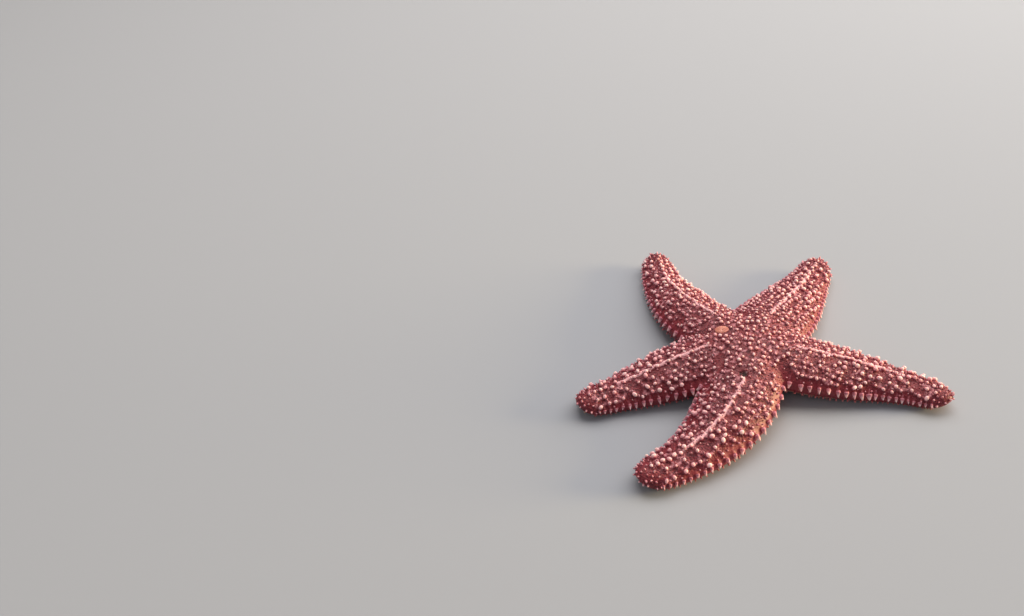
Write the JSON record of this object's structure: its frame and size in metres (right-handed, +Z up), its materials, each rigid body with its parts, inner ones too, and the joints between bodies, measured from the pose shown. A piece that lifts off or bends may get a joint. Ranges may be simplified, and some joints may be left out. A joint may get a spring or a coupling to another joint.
{
  "type": "starfish",
  "caption": "Still life-size sea star: low domed disc with stout blunt arms, rows of short knobbed spines, a sieve plate and tube-foot grooves underneath, lying flat.",
  "frame": {"origin": "middle of the bounding box at the level of the surface it lies on", "axes": "+X across the object towards the right arm's side, +Y away from the front arm, +Z up from the surface"},
  "size_m": [0.1408, 0.1368, 0.0193],
  "materials": {
    "skin": "wet, finely granular, dark maroon",
    "spine": "pale pink limy knobs under a thin wet skin",
    "papula": "soft translucent red-pink",
    "sieve_plate": "orange, finely grooved",
    "tube_foot": "soft translucent cream"
  },
  "bodies": {
    "root": {"disc": "skin", "madreporite": "sieve_plate", "arm_right": "skin", "arm_back_right": "skin", "arm_back_left": "skin", "arm_left": "skin", "arm_front": "skin"}
  },
  "joints": []
}
